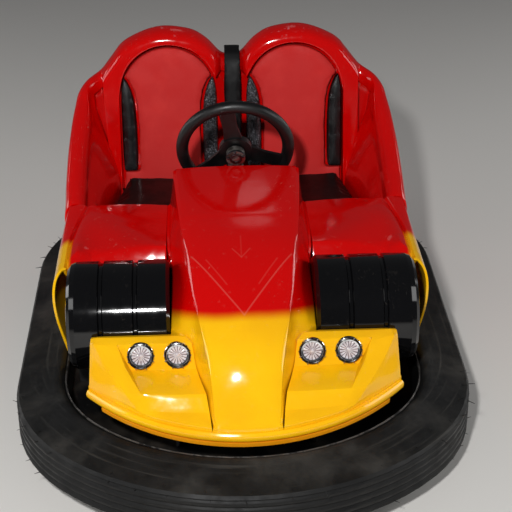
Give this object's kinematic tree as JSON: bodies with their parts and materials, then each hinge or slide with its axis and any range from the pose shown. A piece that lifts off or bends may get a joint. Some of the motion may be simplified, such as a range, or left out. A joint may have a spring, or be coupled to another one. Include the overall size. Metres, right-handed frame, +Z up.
{
  "type": "bumper car",
  "caption": "Two-seat ride bumper car with an oval rubber bumper, moulded body, double seat shell, round lamps, steering wheel and three road wheels.",
  "frame": {"origin": "floor under the middle of the bumper's plan", "axes": "+Z up, -Y towards the front of the car, +X towards the rider's left as seen from the front"},
  "size_m": [1.2, 1.73, 0.878],
  "materials": {
    "rubber_black": "dusty matt",
    "road_rubber": "worn matt",
    "steel_black": "satin black paint",
    "steel_grey": "plain steel",
    "motor_grey": "semi-gloss enamel",
    "battery_grey": "moulded",
    "gelcoat_red": "gloss gelcoat",
    "gelcoat_yellow": "gloss gelcoat",
    "gelcoat_black": "gloss gelcoat",
    "vinyl_red": "matt grained vinyl",
    "vinyl_black": "grained vinyl",
    "trim_black": "matt moulded",
    "lamp_chrome": "bright plated",
    "lamp_clear": "clear moulded"
  },
  "bodies": {
    "root": {"bumper_tyre": "rubber_black", "bumper_rim": "steel_black", "floor_pan": "steel_black", "frame_rails": "steel_black", "frame_cross": "steel_black", "rear_axle": "steel_grey", "drive_mount": "steel_black", "gear_head": "motor_grey", "column_jacket": "steel_black", "bonnet": "gelcoat_red", "deck_left": "gelcoat_red", "deck_right": "gelcoat_red", "nose_left": "gelcoat_yellow", "nose_right": "gelcoat_yellow", "nose_lip": "gelcoat_yellow", "nose_apron": "gelcoat_yellow", "dummy_wheel_left": "gelcoat_black", "dummy_wheel_right": "gelcoat_black", "seat_shell": "gelcoat_red", "seat_box": "trim_black", "cushion_left": "vinyl_black", "cushion_right": "vinyl_black", "back_pad_left": "vinyl_red", "back_pad_right": "vinyl_red", "bolsters": "vinyl_black", "centre_spine": "vinyl_black", "bulkhead": "trim_black", "floor_mat": "road_rubber", "pedal": "steel_grey", "battery": "battery_grey", "lamp_bezels": "lamp_chrome", "lamp_lenses": "lamp_clear"},
    "steering": {"steering_wheel": "trim_black"},
    "drive_unit": {"drive_fork": "steel_black", "drive_motor": "motor_grey"},
    "drive_wheel": {"drive_tyre": "road_rubber", "drive_hub": "steel_grey"},
    "rear_wheel_left": {"rear_tyre_left": "road_rubber", "rear_hub_left": "steel_grey"},
    "rear_wheel_right": {"rear_tyre_right": "road_rubber", "rear_hub_right": "steel_grey"}
  },
  "joints": [
    {"name": "steering_turn", "type": "hinge", "parent": "root", "child": "steering", "pos_m": [0, 0.11, 0.667], "axis": [0, 0.9455, 0.3256], "continuous": true},
    {"name": "drive_turn", "type": "hinge", "parent": "root", "child": "drive_unit", "pos_m": [0, -0.33, 0.1], "axis": [0, 0, 1], "continuous": true},
    {"name": "drive_spin", "type": "hinge", "parent": "drive_unit", "child": "drive_wheel", "pos_m": [0, -0.33, 0.1], "axis": [1, 0, 0], "continuous": true},
    {"name": "rear_left_spin", "type": "hinge", "parent": "root", "child": "rear_wheel_left", "pos_m": [-0.33, 0.43, 0.1], "axis": [1, 0, 0], "continuous": true},
    {"name": "rear_right_spin", "type": "hinge", "parent": "root", "child": "rear_wheel_right", "pos_m": [0.33, 0.43, 0.1], "axis": [1, 0, 0], "continuous": true}
  ],
  "couplings": [
    {"joint": "steering_turn", "follows": "drive_turn", "ratio": 1}
  ]
}
